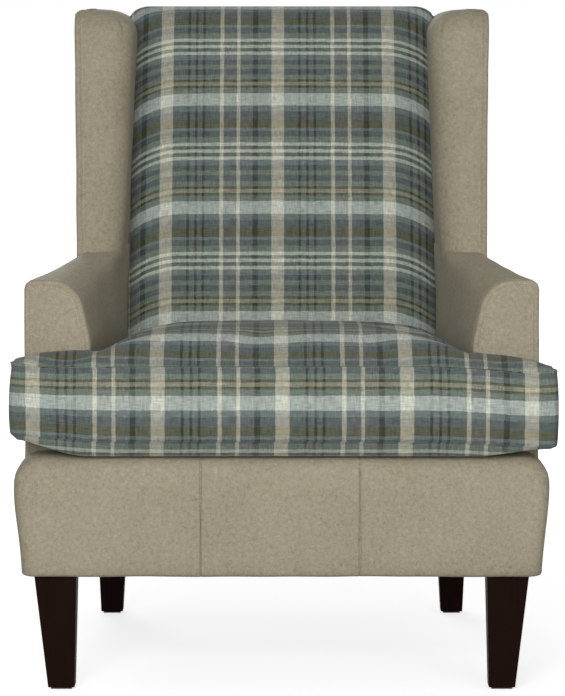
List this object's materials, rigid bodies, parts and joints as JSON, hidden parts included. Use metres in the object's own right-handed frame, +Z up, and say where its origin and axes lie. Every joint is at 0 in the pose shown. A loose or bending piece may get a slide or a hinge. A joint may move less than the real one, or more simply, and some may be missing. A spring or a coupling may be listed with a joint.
{
  "type": "wing armchair",
  "caption": "Upholstered wing armchair on tapered legs, leather shell, check tight back and loose T-shaped seat cushion.",
  "frame": {"origin": "on the floor below the middle of the chair's outline", "axes": "+Z up, the sitter faces -Y, +X to the right as seen from the front"},
  "size_m": [0.806, 0.8313, 1.016],
  "materials": {
    "check_fabric": "woven check in slate, green, olive and cream",
    "leather": "suede-like matt leather",
    "lining_cloth": "plain black lining",
    "dark_legs": "dark stained, satin",
    "felt": "felt",
    "steel": "bright drawn wire",
    "webbing": "elastic webbing",
    "zip_tape": "zip tape with a nylon coil",
    "zip_metal": "plated",
    "foam": "upholstery foam and fibre",
    "frame_wood": "sawn hardwood"
  },
  "bodies": {
    "chair": {"back_lower_rail": "frame_wood", "back_pad": "foam", "back_seat_rail": "frame_wood", "back_top_rail": "frame_wood", "back_webbing": "webbing", "corner_blocks": "frame_wood", "deck_cloth": "lining_cloth", "dust_cover": "lining_cloth", "front_border_left_panel": "leather", "front_border_middle_panel": "leather", "front_border_pad": "foam", "front_border_right_panel": "leather", "front_foot_pads": "felt", "front_seat_rail": "frame_wood", "inside_back_cover": "check_fabric", "left_arm_cover": "leather", "left_arm_facing": "leather", "left_arm_pad": "foam", "left_arm_post": "frame_wood", "left_arm_rail": "frame_wood", "left_back_post": "frame_wood", "left_front_leg": "dark_legs", "left_outside_arm": "leather", "left_outside_wing": "leather", "left_rear_leg": "dark_legs", "left_side_seat_rail": "frame_wood", "left_tacking_post": "frame_wood", "left_wing_cover": "leather", "left_wing_pad": "foam", "left_wing_post": "frame_wood", "left_wing_rail": "frame_wood", "leg_bolts": "steel", "outside_back": "leather", "rear_foot_pads": "felt", "right_arm_cover": "leather", "right_arm_facing": "leather", "right_arm_pad": "foam", "right_arm_post": "frame_wood", "right_arm_rail": "frame_wood", "right_back_post": "frame_wood", "right_front_leg": "dark_legs", "right_outside_arm": "leather", "right_outside_wing": "leather", "right_rear_leg": "dark_legs", "right_side_seat_rail": "frame_wood", "right_tacking_post": "frame_wood", "right_wing_cover": "leather", "right_wing_pad": "foam", "right_wing_post": "frame_wood", "right_wing_rail": "frame_wood", "seat_deck_pad": "foam", "seat_springs": "steel", "spring_clips": "steel"},
    "seat_cushion": {"cushion_cover": "check_fabric", "cushion_foam": "foam", "cushion_zip": "zip_tape"},
    "zip_slider": {"zip_slider": "zip_metal"}
  },
  "joints": [
    {"name": "cushion_lift", "type": "slide", "parent": "chair", "child": "seat_cushion", "axis": [0, -0.8944, 0.4472], "range_m": [0, 0.45]},
    {"name": "zip_slide", "type": "slide", "parent": "seat_cushion", "child": "zip_slider", "axis": [-1, 0, 0], "range_m": [0, 0.34]}
  ]
}
